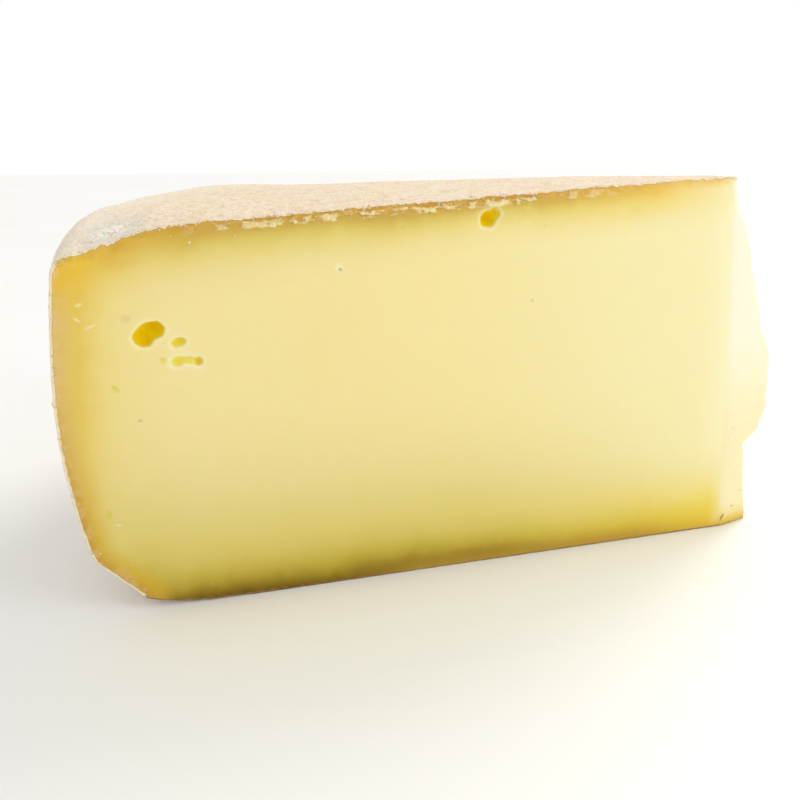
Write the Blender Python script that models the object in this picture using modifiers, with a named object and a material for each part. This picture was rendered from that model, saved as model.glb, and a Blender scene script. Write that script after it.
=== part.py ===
"""A wedge of mountain cheese: one solid, cut from a turned wheel with two straight knife cuts.

The front cut faces -Y and runs along X, with the wheel's rim at -X and the wedge's broken tip at +X.
The wedge stands on the wheel's flat base, with its origin at the middle of its footprint.
"""
import bpy
import bmesh
from math import atan2, cos, degrees, exp, hypot, pi, radians, sin, sqrt
from mathutils import Matrix, Vector, noise

# ---- the wheel, in metres -------------------------------------------------------------------------
RIM_RADIUS = 0.2009          # the widest, RIM_BELLY above the base
RIM_BELLY = 0.054
RIM_ARC = 0.165              # the bulging side, as a circle's radius
RIM_FOOT = 0.0185            # where the side turns into the bevel
BEVEL_TOP_RADIUS = 0.1955
BEVEL_TOP_HEIGHT = 0.0142
BASE_CORNER = (              # radius and height, where the bevel eases into the flat base
    (0.1846, 0.0030),
    (0.1812, 0.0020),
    (0.1762, 0.0010),
    (0.1700, 0.0004),
    (0.1590, 0.0000),
)
CROWN_HEIGHT = 0.1027        # the middle of the wheel
CROWN_FALL = 0.0046          # how much lower the top is out at the rim
SHOULDER_START = 0.1872      # where the top turns down into the side
SHOULDER_FOOT = 0.0890       # and the height where it has done so
SHOULDER_SWELL = (           # degrees round from the front cut, and how far the shoulder stands out there
    (0.0, 0.0000),
    (4.0, 0.0003),
    (7.5, 0.0006),
    (11.0, 0.0004),
    (17.0, -0.0005),
    (25.0, 0.0001),
    (37.0, 0.0013),
    (46.0, 0.0005),
    (50.0, 0.0000),
)
SWELL_SPREAD = 0.024         # how far from the shoulder that fades away
BACK_FALL = 0.031            # metres the top falls for each metre behind the front cut
WHEEL_STEPS = 150
WHEEL_TURN = radians(1.3)    # keeps the wheel's facets clear of both cuts

# ---- the wedge ------------------------------------------------------------------------------------
WEDGE_ANGLE = radians(50.0)
FRONT_REACH = 0.029          # how far behind the front cut its own lower outline fades away
FRONT_CROWN = (              # radius, and the sagging top's height there along the front cut
    (0.000, 0.1018),
    (0.036, 0.1016),
    (0.066, 0.1000),
    (0.092, 0.0984),
    (0.114, 0.0968),
    (0.136, 0.0956),
    (0.152, 0.0942),
    (0.164, 0.0936),
    (0.178, 0.0919),
    (0.1925, 0.0866),
)
FRONT_SHOULDER_FOOT = 0.0815
UNEVEN_HEIGHT = 0.0007       # soft dents and swellings of the rind
UNEVEN_LENGTH = 0.035
UNEVEN_RISE = 0.020          # the base stays flat, and they grow to full size over this height

# ---- the broken tip, measured from the wheel's middle ------------------------------------------------
TIP_TOP = -0.0256            # where the front cut ends at the top
TIP_FOOT = -0.0092           # and at the base
TIP_STATIONS = (             # height, and how far the break stands out past the front cut's end
    (0.0000, 0.0000),
    (0.0250, 0.0000),
    (0.0285, 0.0058),
    (0.0350, 0.0094),
    (0.0400, 0.0130),
    (0.0440, 0.0144),
    (0.0490, 0.0118),
    (0.0610, 0.0078),
    (0.0800, 0.0045),
    (0.0980, 0.0000),
)
TIP_SKEW = 0.35              # metres sideways for each metre back
TIP_ROUGHNESS = 0.0010       # rising from nothing at the front cut over TIP_GRAIN_START
TIP_GRAIN = 0.008
TIP_GRAIN_START = 0.004
BREAKER_DEPTH = 0.034
BREAKER_LEAD = 0.08          # share of its depth that lies in front of the front cut
BREAKER_HEIGHT = 0.116
BREAKER_SUNK = 0.05          # share of its height that lies below the base
BREAKER_CUTS = 33
FLAKE_ANGLE = radians(15.5)  # the shallow break that runs from the front cut to the tip
FLAKE_TOP = -0.0249          # where it begins on the front cut, at the top
FLAKE_FOOT = -0.0174         # and at the base

# ---- the eyes ---------------------------------------------------------------------------------------
# Each row: distance in from the rim's widest radius, height, half width, half height, depth, tilt.
FRONT_EYES = {
    "eye_large": (0.0227, 0.0699, 0.0029, 0.0018, 0.0044, -5.0),
    "eye_large_lobe": (0.0207, 0.0683, 0.0025, 0.0025, 0.0042, 15.0),
    "eye_oval": (0.0284, 0.0667, 0.0018, 0.0012, 0.0014, -14.0),
    "eye_double": (0.0325, 0.0619, 0.0012, 0.0012, 0.0016, 0.0),
    "eye_shallow": (0.0280, 0.0623, 0.0019, 0.0014, 0.0007, -10.0),
    "eye_between": (0.0305, 0.0624, 0.0017, 0.0012, 0.0005, 0.0),
    "eye_under_rind": (0.1041, 0.0926, 0.0022, 0.0021, 0.0044, -20.0),
    "eye_under_rind_corner": (0.1059, 0.0939, 0.0014, 0.0015, 0.0026, -45.0),
}
BACK_EYES = {
    "back_eye_high": (0.0480, 0.0700, 0.0036, 0.0030, 0.0048, 15.0),
    "back_eye_mid": (0.1120, 0.0520, 0.0026, 0.0022, 0.0034, -25.0),
    "back_eye_low": (0.0760, 0.0330, 0.0020, 0.0024, 0.0030, 60.0),
}
EYE_SIDES = 14
EYE_RINGS = 8
EYE_UNEVEN = 0.22            # share of the radius
EYE_PROUD = 0.13             # how far an eye's middle lies outside its cut, as a share of its depth

KNIFE_REACH = 0.60
FLAKER_REACH = 0.30
PASTE_COLOUR = (0.86, 0.72, 0.33, 1.0)
PASTE_ROUGHNESS = 0.42


def collection(name):
    made = bpy.data.collections.new(name)
    bpy.context.scene.collection.children.link(made)
    return made


def mesh_object(name, bm, into):
    """Turn a bmesh into an object with its faces pointing outwards."""
    bmesh.ops.recalc_face_normals(bm, faces=bm.faces)
    mesh = bpy.data.meshes.new(name)
    bm.to_mesh(mesh)
    bm.free()
    made = bpy.data.objects.new(name, mesh)
    into.objects.link(made)
    return made


def cheese_material():
    made = bpy.data.materials.new("cheese paste")
    made.use_nodes = True
    shader = made.node_tree.nodes["Principled BSDF"]
    shader.inputs["Base Color"].default_value = PASTE_COLOUR
    shader.inputs["Roughness"].default_value = PASTE_ROUGHNESS
    shader.inputs["Metallic"].default_value = 0.0
    return made


def smooth(share):
    """Ease from 0 to 1 with flat ends."""
    share = min(max(share, 0.0), 1.0)
    return share * share * (3.0 - 2.0 * share)


def read_stations(stations, at):
    """Read a row of (place, value) pairs with soft steps between them, and its end values beyond it."""
    if at <= stations[0][0]:
        return stations[0][1]
    for (low, value), (high, following) in zip(stations, stations[1:]):
        if at <= high:
            return value + (following - value) * smooth((at - low) / (high - low))
    return stations[-1][1]


# ---- the wheel --------------------------------------------------------------------------------------

def crown(radius):
    return CROWN_HEIGHT - CROWN_FALL * (radius / RIM_RADIUS) ** 2


def front_crown(radius):
    return read_stations(FRONT_CROWN, radius)


def side(height):
    """The rim's radius at a height: a shallow arc about its belly."""
    rise = height - RIM_BELLY
    return RIM_RADIUS - (RIM_ARC - sqrt(RIM_ARC ** 2 - rise ** 2))


def outline(top, shoulder_start, shoulder_foot):
    """Half of the wheel's section, from the middle of its top down the side to the middle of its base."""
    across = side(shoulder_foot) - shoulder_start
    drop = top(shoulder_start) - shoulder_foot
    points = [(0.0, top(0.0))]
    for step in range(1, 15):
        radius = shoulder_start * step / 14
        points.append((radius, top(radius)))
    for step in range(1, 9):
        turn = pi / 2 * step / 8
        radius = shoulder_start + across * sin(turn)
        points.append((radius, top(shoulder_start) - drop * (1.0 - cos(turn))))
    for step in range(1, 11):
        height = shoulder_foot + (RIM_FOOT - shoulder_foot) * step / 10
        points.append((side(height), height))
    points.append((BEVEL_TOP_RADIUS, BEVEL_TOP_HEIGHT))
    points += BASE_CORNER
    points.append((0.0, 0.0))
    return points


def wheel_outline():
    return outline(crown, SHOULDER_START, SHOULDER_FOOT)


def front_outline():
    return outline(front_crown, FRONT_CROWN[-1][0], FRONT_SHOULDER_FOOT)


def turned_wheel(into):
    """Turn the outline about Z into a closed wheel."""
    bm = bmesh.new()
    verts = [bm.verts.new((radius, 0.0, height)) for radius, height in wheel_outline()]
    for upper, lower in zip(verts, verts[1:]):
        bm.edges.new((upper, lower))
    mesh = bpy.data.meshes.new("wheel outline")
    bm.to_mesh(mesh)
    bm.free()
    profile = bpy.data.objects.new("wheel outline", mesh)
    into.objects.link(profile)
    screw = profile.modifiers.new("turn", "SCREW")
    screw.angle = 2 * pi
    screw.steps = WHEEL_STEPS
    screw.render_steps = WHEEL_STEPS
    screw.use_merge_vertices = True
    screw.merge_threshold = 0.00001
    wheel = as_mesh(profile, "cheese_wedge", into)
    wheel.data.transform(Matrix.Rotation(WHEEL_TURN, 4, "Z"))
    return wheel


def as_mesh(source, name, into):
    """Replace an object by a plain mesh of what its modifiers make."""
    graph = bpy.context.evaluated_depsgraph_get()
    mesh = bpy.data.meshes.new_from_object(source.evaluated_get(graph))
    bpy.data.objects.remove(source)
    made = bpy.data.objects.new(name, mesh)
    into.objects.link(made)
    return made


def nearest_point(points, radius, height):
    return min(range(len(points)), key=lambda i: hypot(points[i][0] - radius, points[i][1] - height))


def shoulder_swell(place, radius):
    """How far the rind stands out round its shoulder."""
    away = hypot(radius - SHOULDER_START, place.z - CROWN_HEIGHT + CROWN_FALL) / SWELL_SPREAD
    return read_stations(SHOULDER_SWELL, degrees(atan2(place.y, -place.x))) * exp(-away ** 2)


def settle(wheel):
    """Blend the section into the lower front outline near that cut, and make the rind a little uneven."""
    turned = wheel_outline()
    sagged = front_outline()
    for vert in wheel.data.vertices:
        place = vert.co.copy()
        radius = hypot(place.x, place.y)
        around = Vector((place.x, place.y, 0.0)).normalized()
        index = nearest_point(turned, radius, place.z)
        back = max(place.y, 0.0)
        near_front = exp(-back / FRONT_REACH)
        high = smooth((place.z - RIM_BELLY) / (SHOULDER_FOOT - RIM_BELLY))
        rising = smooth((place.z - RIM_FOOT) / UNEVEN_RISE)
        swell = noise.noise(place / UNEVEN_LENGTH) * UNEVEN_HEIGHT * rising
        swell += shoulder_swell(place, radius)
        vert.co += around * (swell + (sagged[index][0] - radius) * near_front)
        vert.co.z += swell + (sagged[index][1] - place.z) * near_front - BACK_FALL * back * high


# ---- the cuts ---------------------------------------------------------------------------------------

def knife(name, turn, into):
    """A block whose -Y side, turned about the wheel's middle, is the flat of the knife."""
    bm = bmesh.new()
    bmesh.ops.create_cube(bm, size=KNIFE_REACH)
    bmesh.ops.translate(bm, verts=bm.verts, vec=(0.0, KNIFE_REACH / 2, 0.0))
    bmesh.ops.rotate(bm, verts=bm.verts, cent=(0.0, 0.0, 0.0), matrix=Matrix.Rotation(turn, 3, "Z"))
    return mesh_object(name, bm, into)


def front_end(height):
    """Where the front cut ends at the tip, at a height."""
    return TIP_FOOT + (TIP_TOP - TIP_FOOT) * height / CROWN_HEIGHT


def break_surface(back, height):
    """How far along X the broken tip reaches, at a distance behind the front cut and a height."""
    grain = noise.fractal(Vector((0.0, back, height)) / TIP_GRAIN, 1.0, 2.0, 3)
    rough = TIP_ROUGHNESS * grain * smooth(back / TIP_GRAIN_START)
    return front_end(height) + read_stations(TIP_STATIONS, height) + TIP_SKEW * back + rough


def tip_breaker(into):
    """A block whose -X side follows the break."""
    bm = bmesh.new()
    bmesh.ops.create_cube(bm, size=1.0)
    bmesh.ops.subdivide_edges(bm, edges=bm.edges, cuts=BREAKER_CUTS, use_grid_fill=True)
    for vert in bm.verts:
        back = (vert.co.y + 0.5 - BREAKER_LEAD) * BREAKER_DEPTH
        height = (vert.co.z + 0.5 - BREAKER_SUNK) * BREAKER_HEIGHT
        if vert.co.x < -0.499:
            reach = break_surface(back, height)
        else:
            reach = BREAKER_DEPTH * (1.0 + vert.co.x)
        vert.co = Vector((reach, back, height))
    return mesh_object("tip breaker", bm, into)


def tip_flaker(into):
    """A block that takes a shallow flake off the front cut, from a leaning line near the tip."""
    low = Vector((FLAKE_FOOT, 0.0, 0.0))
    high = Vector((FLAKE_TOP, 0.0, CROWN_HEIGHT))
    along = (high - low).normalized()
    across = Vector((cos(FLAKE_ANGLE), sin(FLAKE_ANGLE), 0.0))
    facing = across.cross(along).normalized()
    across = along.cross(facing)
    bm = bmesh.new()
    bmesh.ops.create_cube(bm, size=FLAKER_REACH)
    bmesh.ops.translate(bm, verts=bm.verts, vec=(FLAKER_REACH / 2, FLAKER_REACH / 2, 0.0))
    bmesh.ops.transform(bm, verts=bm.verts, matrix=Matrix((across, facing, along)).transposed().to_4x4())
    bmesh.ops.translate(bm, verts=bm.verts, vec=low)
    return mesh_object("tip flaker", bm, into)


def eye_cutter(name, row, turn, into):
    """An uneven ball sunk half into the cut that runs out from the wheel's middle at an angle."""
    inset, height, half_width, half_height, depth, tilt = row
    bm = bmesh.new()
    bmesh.ops.create_uvsphere(bm, u_segments=EYE_SIDES, v_segments=EYE_RINGS, radius=1.0)
    seed = Vector((inset, height, 0.0)) * 1000.0
    for vert in bm.verts:
        vert.co *= 1.0 + EYE_UNEVEN * noise.noise(vert.co * 1.3 + seed)
        vert.co = Vector((vert.co.x * half_width, vert.co.y * depth, vert.co.z * half_height))
    bmesh.ops.rotate(bm, verts=bm.verts, cent=(0.0, 0.0, 0.0), matrix=Matrix.Rotation(radians(tilt), 3, "Y"))
    bmesh.ops.translate(bm, verts=bm.verts, vec=(inset - RIM_RADIUS, -EYE_PROUD * depth, height))
    bmesh.ops.rotate(bm, verts=bm.verts, cent=(0.0, 0.0, 0.0), matrix=Matrix.Rotation(turn, 3, "Z"))
    return mesh_object(name, bm, into)


def cut(target, cutter):
    cutter.hide_render = True
    cutter.display_type = "WIRE"
    boolean = target.modifiers.new(cutter.name, "BOOLEAN")
    boolean.operation = "DIFFERENCE"
    boolean.solver = "EXACT"
    boolean.object = cutter


def stand_at_origin(target):
    """Put the origin under the middle of the wedge, at its base."""
    corners = [vert.co for vert in target.data.vertices]
    middle_x = (min(c.x for c in corners) + max(c.x for c in corners)) / 2
    middle_y = (min(c.y for c in corners) + max(c.y for c in corners)) / 2
    target.data.transform(Matrix.Translation((-middle_x, -middle_y, 0.0)))


def main():
    for old in list(bpy.data.objects):
        bpy.data.objects.remove(old)
    cheese = collection("mountain cheese")
    cutters = collection("cutters")

    wheel = turned_wheel(cheese)
    settle(wheel)
    cut(wheel, knife("front knife", pi, cutters))
    cut(wheel, knife("back knife", -WEDGE_ANGLE, cutters))
    cut(wheel, tip_breaker(cutters))
    cut(wheel, tip_flaker(cutters))
    for name, row in FRONT_EYES.items():
        cut(wheel, eye_cutter(name, row, 0.0, cutters))
    for name, row in BACK_EYES.items():
        cut(wheel, eye_cutter(name, row, -WEDGE_ANGLE, cutters))

    wedge = as_mesh(wheel, "cheese_wedge", cheese)
    wedge.name = "cheese_wedge"
    stand_at_origin(wedge)
    wedge.data.shade_smooth()
    wedge.data.set_sharp_from_angle(angle=radians(35.0))
    wedge.data.materials.clear()
    wedge.data.materials.append(cheese_material())


main()
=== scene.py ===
"""A wedge of mountain cheese on a pale floor, built round its CAD frame and laid out as a Blender add-on."""

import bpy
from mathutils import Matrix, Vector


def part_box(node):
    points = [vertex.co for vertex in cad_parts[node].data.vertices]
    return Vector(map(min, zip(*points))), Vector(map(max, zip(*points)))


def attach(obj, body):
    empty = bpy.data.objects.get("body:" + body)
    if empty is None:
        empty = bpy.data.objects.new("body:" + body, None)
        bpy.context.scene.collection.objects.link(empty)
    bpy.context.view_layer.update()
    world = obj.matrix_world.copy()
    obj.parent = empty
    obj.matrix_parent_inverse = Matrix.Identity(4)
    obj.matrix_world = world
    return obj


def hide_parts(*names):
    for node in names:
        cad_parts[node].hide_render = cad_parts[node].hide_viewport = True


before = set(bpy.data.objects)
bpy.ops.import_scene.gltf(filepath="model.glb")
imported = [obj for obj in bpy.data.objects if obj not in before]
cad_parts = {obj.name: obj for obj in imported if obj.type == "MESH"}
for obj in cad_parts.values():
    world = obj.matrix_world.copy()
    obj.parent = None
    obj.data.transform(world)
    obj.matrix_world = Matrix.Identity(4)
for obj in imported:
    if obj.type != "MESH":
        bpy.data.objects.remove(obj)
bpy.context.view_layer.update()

from math import atan, cos, radians, sin

import bmesh
import bpy
import numpy as np
from bpy.props import FloatProperty, FloatVectorProperty, IntProperty, PointerProperty
from bpy.types import Operator, Panel, PropertyGroup
from mathutils import Euler, Matrix, Vector, noise

bl_info = {
    "name": "Mountain cheese wedge",
    "version": (1, 0, 0),
    "blender": (4, 5, 0),
    "location": "3D View > Sidebar > Cheese",
    "description": "Builds a wedge of mountain cheese with its rind, eyes, crumbs and a pale studio",
    "category": "Object",
}

NODE = "cheese_wedge"
LOW = Vector(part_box(NODE)[0])
MM = 0.001

# The wheel that the wedge was cut from, in metres. Both cuts run through its middle.
WHEEL_REACH = 0.2008         # from the rim's outermost point to the wheel's middle
WHEEL_MIDDLE = Vector((LOW.x + WHEEL_REACH, LOW.y, 0.0))
WEDGE_ANGLE = radians(50.0)
BACK_FACING = Vector((sin(WEDGE_ANGLE), cos(WEDGE_ANGLE), 0.0))
RIM_STARTS = 0.183           # radius beyond which the outside counts as rim
TOP_STARTS = 0.080           # height above which upward faces are top rind
BASE_ENDS = 0.010            # height below which flat downward faces belong to the base
BREAK_REACH = 0.040          # how near the wheel's middle the broken tip lies
SAME_PLANE = 0.1 * MM        # faces this near a cut's plane lie in it
SQUARE_ON = 0.99             # and they look along its facing at least this much

# Each eye: distance in from the rim, height, half width, half height, depth, tilt in degrees.
FRONT_EYES = (
    (0.0225, 0.0698, 0.0034, 0.0021, 0.0044, -4.0),
    (0.0207, 0.0683, 0.0025, 0.0025, 0.0042, 15.0),
    (0.0284, 0.0667, 0.0018, 0.0012, 0.0014, -14.0),
    (0.0325, 0.0619, 0.0012, 0.0012, 0.0016, 0.0),
    (0.0280, 0.0623, 0.0019, 0.0014, 0.0007, -10.0),
    (0.0305, 0.0624, 0.0017, 0.0012, 0.0005, 0.0),
    (0.1041, 0.0926, 0.0022, 0.0021, 0.0044, -20.0),
    (0.1059, 0.0939, 0.0014, 0.0015, 0.0026, -45.0),
)
BACK_EYES = (
    (0.0480, 0.0700, 0.0036, 0.0030, 0.0048, 15.0),
    (0.1120, 0.0520, 0.0026, 0.0022, 0.0034, -25.0),
    (0.0760, 0.0330, 0.0020, 0.0024, 0.0030, 60.0),
)
EYE_INSET_FROM = 0.2009      # radius that the eyes' distances in from the rim are taken from
EYE_UNEVEN = 0.16            # how far an eye's wall wanders broadly, as a share of its size
EYE_UNEVEN_FINE = 0.09       # and how far it wanders finely
EYE_PROUD = 0.13             # how far an eye's middle stands out of the cut, as a share of its depth
EYE_WALL = 1.5               # faces this near an eye's middle, as a share of its size, are its wall

# How readily the torn edges, the rind, the base and the cuts lose triangles, and how much that counts.
CALM_WEIGHTS = (0.0, 0.40, 0.60, 0.72)
CALM_FACTOR = 0.0002

# The wedge's surfaces, each of which gets its own distance map.
SIDES = ("top", "rim", "base", "front", "back", "broken", "eyes")


# ---- settings ---------------------------------------------------------------------------------------

def linear(text):
    """An sRGB hex colour as a linear colour with alpha 1."""
    shares = [int(text[i:i + 2], 16) / 255 for i in (1, 3, 5)]
    return tuple(c / 12.92 if c <= 0.04045 else ((c + 0.055) / 1.055) ** 2.4 for c in shares) + (1.0,)


def length(name, description, default):
    return FloatProperty(
        name=name, description=description, default=default, min=0.0, precision=5, unit="LENGTH"
    )


def colour(name, description, default):
    return FloatVectorProperty(
        name=name, description=description, default=linear(default), size=4, min=0.0, max=1.0, subtype="COLOR"
    )


class CheeseSettings(PropertyGroup):
    """Sizes and colours of the wedge."""
    voxel: length("Voxel", "Grid the wedge's surface is rebuilt on", 0.00040)
    rind_height: length("Rind relief", "Height of the rind's grain and dents", 0.00048)
    rind_grain: length("Rind grain", "Width of the rind's middle-sized grain", 0.0030)
    tear_height: length("Torn edge", "How far the rind's cut edge is torn about", 0.0006)
    crack_depth: length("Crack", "Depth of the crack under the rind", 0.0003)
    flake_height: length("Flakes", "How far the flakes under the rind stand out", 0.0006)
    break_height: length("Break relief", "Height of the grain on the broken tip", 0.0004)
    paste_height: length("Knife relief", "Height of the waves the knife left", 0.00003)
    triangles: IntProperty(name="Triangles", description="Triangles of the finished wedge", default=190000)
    seed: IntProperty(name="Seed", description="Seed of everything scattered", default=7)
    paste: colour("Paste", "Colour of the cheese's middle", "#F2E2A0")
    rind: colour("Rind", "Colour of the dry rind", "#F2DEBC")


class CrumbSettings(PropertyGroup):
    """Sizes and numbers of the crumbs on the cut edges."""
    rind_density: FloatProperty(name="Rind crumbs", description="Crumbs per square metre", default=2.6e6)
    flake_density: FloatProperty(name="Flakes", description="Torn flakes per square metre", default=7.0e5)
    paste_density: FloatProperty(name="Paste crumbs", description="Crumbs per square metre", default=6.0e4)
    smallest: length("Smallest", "Half width of the smallest crumb", 0.00008)
    largest: length("Largest", "Half width of the largest crumb", 0.00032)
    largest_flake: length("Largest flake", "Half width of the largest flake", 0.00055)
    seed: IntProperty(name="Seed", description="Seed of the scattering", default=11)


class StageSettings(PropertyGroup):
    """The floor, lights and camera."""
    floor: length("Floor", "Side of the floor", 6.0)
    key_strength: FloatProperty(
        name="Key", description="Broad light from behind on the right", default=1.35
    )
    fill_power: FloatProperty(
        name="Fill", description="Light from the front right", default=0.8, unit="POWER"
    )
    surround: FloatProperty(name="Surround", description="Strength of the white surroundings", default=0.80)
    focal: FloatProperty(name="Focal length", description="Of the camera, in millimetres", default=39.15)


# ---- shared makers ----------------------------------------------------------------------------------

def plug(tree, socket, value):
    """Set a socket to a value, or link it to a socket or to a node's first live output."""
    if isinstance(value, bpy.types.Node):
        value = next(output for output in value.outputs if output.enabled)
    if isinstance(value, bpy.types.NodeSocket):
        tree.links.new(value, socket)
    else:
        socket.default_value = value


def add(tree, kind, inputs=(), stops=(), **settings):
    """Add a node with its settings, its inputs in order or by name or number, and a ramp's stops."""
    node = tree.nodes.new(kind)
    for name, value in settings.items():
        setattr(node, name, value)
    for key, value in inputs.items() if isinstance(inputs, dict) else enumerate(inputs):
        plug(tree, node.inputs[key], value)
    for index, (place, shade) in enumerate(stops):
        elements = node.color_ramp.elements
        element = elements[index] if index < 2 else elements.new(place)
        element.position = place
        element.color = shade
    return node


def product(tree, *shares):
    """Shares multiplied together, one after the other."""
    made = shares[0]
    for share in shares[1:]:
        made = add(tree, "ShaderNodeMath", (made, share), operation="MULTIPLY")
    return made


def fade(tree, depth, reach):
    """1 at a depth of nothing, falling softly to 0 at reach."""
    return add(tree, "ShaderNodeMapRange", (depth, reach, 0.0), interpolation_type="SMOOTHSTEP")


def wavering(tree, depth, wobble, amount):
    """A depth that wanders by an amount either way, as a wobble from 0 to 1 says."""
    signed = add(tree, "ShaderNodeMath", (wobble, 0.5), operation="SUBTRACT")
    return add(tree, "ShaderNodeMath", (signed, 2.0 * amount, depth), operation="MULTIPLY_ADD")


def paint(tree, below, shade, *covers):
    """Lay a colour over what is below, as strongly as its covers say together."""
    over = linear(shade) if isinstance(shade, str) else shade
    return add(tree, "ShaderNodeMix", {0: product(tree, *covers), 6: below, 7: over}, data_type="RGBA")


def geometry_tree(name, inputs):
    """A Geometry Nodes tree with a geometry input and output, and named inputs of the given types."""
    tree = bpy.data.node_groups.new(name, "GeometryNodeTree")
    tree.interface.new_socket("Geometry", in_out="INPUT", socket_type="NodeSocketGeometry")
    tree.interface.new_socket("Geometry", in_out="OUTPUT", socket_type="NodeSocketGeometry")
    for label, kind in inputs:
        tree.interface.new_socket(label, in_out="INPUT", socket_type="NodeSocket" + kind)
    return tree


def finish_tree(tree, geometry, material):
    """End a tree in Realize Instances and Set Material."""
    real = add(tree, "GeometryNodeRealizeInstances", {"Geometry": geometry})
    painted = add(tree, "GeometryNodeSetMaterial", {"Geometry": real, "Material": material})
    add(tree, "NodeGroupOutput", {"Geometry": painted})


def plain_mesh(piece):
    """Turn what a piece's modifiers make into its own mesh, and take the modifiers off."""
    graph = bpy.context.evaluated_depsgraph_get()
    finished = piece.evaluated_get(graph)
    made = bpy.data.meshes.new_from_object(finished, preserve_all_data_layers=True, depsgraph=graph)
    piece.modifiers.clear()
    old = piece.data
    piece.data = made
    bpy.data.meshes.remove(old)


def run_tree(piece, tree, values):
    """Run a tree on a piece with values for its named inputs, and keep the result as plain mesh."""
    modifier = piece.modifiers.new(tree.name, "NODES")
    modifier.node_group = tree
    for item in tree.interface.items_tree:
        if item.in_out == "INPUT" and item.name in values:
            modifier[item.identifier] = values[item.name]
    plain_mesh(piece)


def new_piece(name, bm):
    """A new object in the scene from a bmesh, which it uses up."""
    mesh = bpy.data.meshes.new(name)
    bm.to_mesh(mesh)
    bm.free()
    piece = bpy.data.objects.new(name, mesh)
    bpy.context.scene.collection.objects.link(piece)
    return piece


def remove_piece(piece):
    """Take an object and its mesh away again."""
    mesh = piece.data
    bpy.data.objects.remove(piece)
    bpy.data.meshes.remove(mesh)


# ---- the wedge's shape ------------------------------------------------------------------------------

def eye_places():
    """For each eye the transform that turns a ball of radius 1 into it, and a seed for its unevenness."""
    places = []
    for rows, turn in ((FRONT_EYES, 0.0), (BACK_EYES, -WEDGE_ANGLE)):
        for inset, height, half_width, half_height, depth, tilt in rows:
            spot = Matrix.Translation((inset - EYE_INSET_FROM, -EYE_PROUD * depth, height))
            size = Matrix.Diagonal((half_width, depth, half_height, 1.0))
            tilted = Matrix.Rotation(radians(tilt), 4, "Y") @ size
            place = Matrix.Translation(WHEEL_MIDDLE) @ Matrix.Rotation(turn, 4, "Z") @ spot @ tilted
            places.append((place, Vector((inset, height, 0.0)) * 1000.0))
    return places


def solid_copy():
    """The wedge's own solid as one merged, closed mesh, with its plain eyes filled in."""
    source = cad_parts[NODE]
    bm = bmesh.new()
    bm.from_mesh(source.data)
    bm.transform(source.matrix_world)
    bmesh.ops.remove_doubles(bm, verts=bm.verts, dist=3e-6)
    bmesh.ops.recalc_face_normals(bm, faces=bm.faces)
    into_eyes = [place.inverted() for place, _ in eye_places()]
    walls = [face for face in bm.faces if side_of(face, into_eyes) == "eyes"]
    bmesh.ops.delete(bm, geom=walls, context="FACES")
    bmesh.ops.edgeloop_fill(bm, edges=[edge for edge in bm.edges if edge.is_boundary])
    bmesh.ops.recalc_face_normals(bm, faces=bm.faces)
    if not all(edge.is_manifold for edge in bm.edges):
        raise RuntimeError("the wedge's solid has a hole left in it")
    return new_piece("wedge", bm)


def eye_ball(place, seed):
    """An uneven ball sunk half into its cut."""
    bm = bmesh.new()
    bmesh.ops.create_uvsphere(bm, u_segments=56, v_segments=32, radius=1.0)
    for vert in bm.verts:
        broad = EYE_UNEVEN * noise.noise(vert.co * 1.3 + seed)
        fine = EYE_UNEVEN_FINE * noise.noise(vert.co * 2.7 + seed)
        vert.co *= 1.0 + (broad + fine)
    bm.transform(place)
    return new_piece("eye", bm)


def cut_eyes(wedge):
    """Hollow the finer eyes out of the wedge."""
    balls = [eye_ball(place, seed) for place, seed in eye_places()]
    for ball in balls:
        boolean = wedge.modifiers.new("eye", "BOOLEAN")
        boolean.operation = "DIFFERENCE"
        boolean.solver = "EXACT"
        boolean.object = ball
    plain_mesh(wedge)
    for ball in balls:
        remove_piece(ball)


def side_of(face, into_eyes):
    """The name of the side that a face of the solid belongs to."""
    centre = face.calc_center_median()
    normal = face.normal
    spoke = centre - WHEEL_MIDDLE
    radius = spoke.to_2d().length
    if abs(centre.y - LOW.y) < SAME_PLANE and normal.y < -SQUARE_ON:
        return "front"
    if abs(spoke.dot(BACK_FACING)) < SAME_PLANE and normal.dot(BACK_FACING) > SQUARE_ON:
        return "back"
    if any((into_eye @ centre).length < EYE_WALL for into_eye in into_eyes):
        return "eyes"
    if centre.z < BASE_ENDS and normal.z < -0.85:
        return "base"
    if centre.z > TOP_STARTS and normal.z > 0.6:
        return "top"
    if radius > RIM_STARTS:
        return "rim"
    return "broken" if radius < BREAK_REACH else "eyes"


def side_guides(wedge):
    """One plain mesh for each side of the wedge."""
    guides = {}
    into_eyes = [place.inverted() for place, _ in eye_places()]
    for side in SIDES:
        bm = bmesh.new()
        bm.from_mesh(wedge.data)
        bmesh.ops.delete(bm, geom=[f for f in bm.faces if side_of(f, into_eyes) != side], context="FACES")
        guides[side] = new_piece(side + " guide", bm)
    return guides


def rebuild_surface(wedge, voxel):
    """Lay an even, closed net over the wedge."""
    remesh = wedge.modifiers.new("net", "REMESH")
    remesh.mode = "VOXEL"
    remesh.voxel_size = voxel
    remesh.use_smooth_shade = True
    soften = wedge.modifiers.new("soften", "SMOOTH")
    soften.factor = 0.5
    soften.iterations = 2
    plain_mesh(wedge)


def patchy(tree, place):
    """Middle-sized noise that the torn rind's shape and colour share."""
    made = add(tree, "ShaderNodeTexNoise", {"Vector": place, "Scale": 1.0 / 0.0045, "Detail": 3.0})
    return made.outputs["Fac"]


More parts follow.
